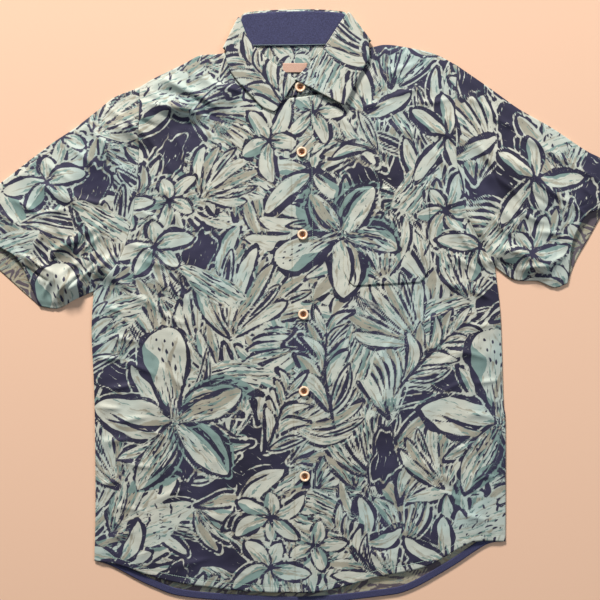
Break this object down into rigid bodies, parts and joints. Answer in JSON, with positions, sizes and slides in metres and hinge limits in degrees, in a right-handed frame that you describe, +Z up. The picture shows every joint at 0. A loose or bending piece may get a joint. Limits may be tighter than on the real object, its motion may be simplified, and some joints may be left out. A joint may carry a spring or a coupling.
{
  "type": "hawaiian shirt",
  "caption": "Short-sleeved hawaiian shirt in a floral print, buttoned and laid flat on its back, with a pointed collar, a chest pocket and a dipped back hem.",
  "frame": {"origin": "under the middle of the laid shirt's box, on the surface it lies on", "axes": "+X towards the wearer's left sleeve, +Y towards the collar, +Z up out of the shirt's front"},
  "size_m": [0.94, 0.8299, 0.0133],
  "materials": {
    "printed_cloth": "matt printed rayon, soft sheen",
    "printed_cloth_inside": "wrong side of the printed rayon, paler and browner",
    "navy_cloth": "matt navy chambray",
    "label": "plain woven ribbon",
    "button": "turned coconut shell, satin"
  },
  "bodies": {
    "root": {"back_panel": "printed_cloth", "yoke": "printed_cloth", "yoke_facing": "printed_cloth_inside", "front_right": "printed_cloth", "front_left": "printed_cloth", "sleeve_right": "printed_cloth", "sleeve_left": "printed_cloth", "collar_leaf": "printed_cloth", "collar_stand": "printed_cloth", "collar_stand_inner": "navy_cloth", "pocket": "printed_cloth", "back_hem_tape": "navy_cloth", "neck_label": "label", "button_1": "button", "button_2": "button", "button_3": "button", "button_4": "button", "button_5": "button", "button_6": "button"}
  },
  "joints": []
}
